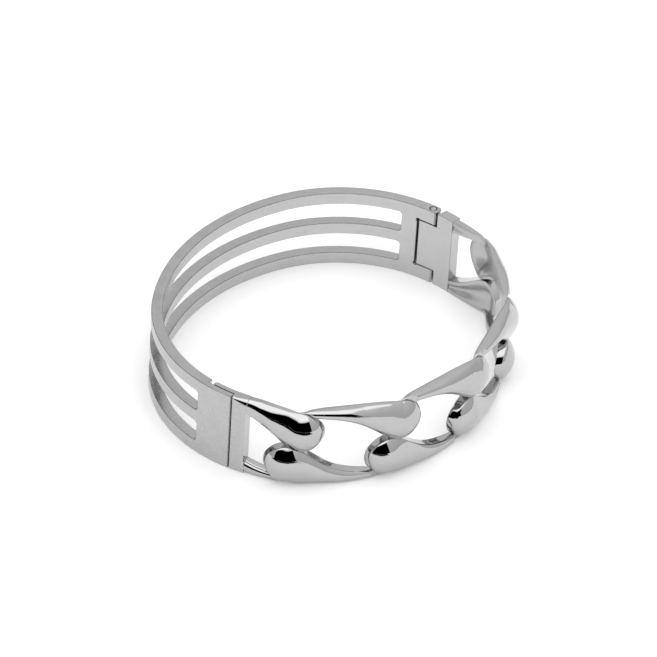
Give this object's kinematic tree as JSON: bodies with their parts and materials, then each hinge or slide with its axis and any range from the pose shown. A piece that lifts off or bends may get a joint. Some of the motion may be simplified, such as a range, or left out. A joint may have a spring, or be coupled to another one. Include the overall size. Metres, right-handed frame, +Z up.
{
  "type": "bangle bracelet",
  "caption": "Hinged oval metal bangle with a slotted rear band, a lap clasp and a front half of polished pear-shaped links that cross in pairs.",
  "frame": {"origin": "centre of the oval, in the plane of the lower edge that the bangle lies on", "axes": "+Z up through the wrist opening, +X along the oval's long axis towards the hinge, -X to the clasp, +Y to the slotted band, -Y to the link half"},
  "size_m": [0.0638, 0.0572, 0.0145],
  "materials": {
    "satin_steel": "satin, finely brushed",
    "polished_steel": "mirror polished",
    "pin_steel": "turned and filed flush"
  },
  "bodies": {
    "rear_half": {"rear_band": "satin_steel", "hinge_pin": "pin_steel"},
    "front_half": {"clasp_plate": "satin_steel", "hinge_plate": "satin_steel", "clasp_stub_rail": "polished_steel", "hinge_stub_rail": "polished_steel", "upper_link_1": "polished_steel", "upper_link_2": "polished_steel", "upper_link_3": "polished_steel", "upper_link_4": "polished_steel", "upper_link_5": "polished_steel", "lower_link_1": "polished_steel", "lower_link_2": "polished_steel", "lower_link_3": "polished_steel", "lower_link_4": "polished_steel", "lower_link_5": "polished_steel"}
  },
  "joints": [
    {"name": "opening_hinge", "type": "hinge", "parent": "rear_half", "child": "front_half", "pos_m": [0.03095, 0.0002, 0], "axis": [0, 0, 1], "range_deg": [0, 60]}
  ]
}
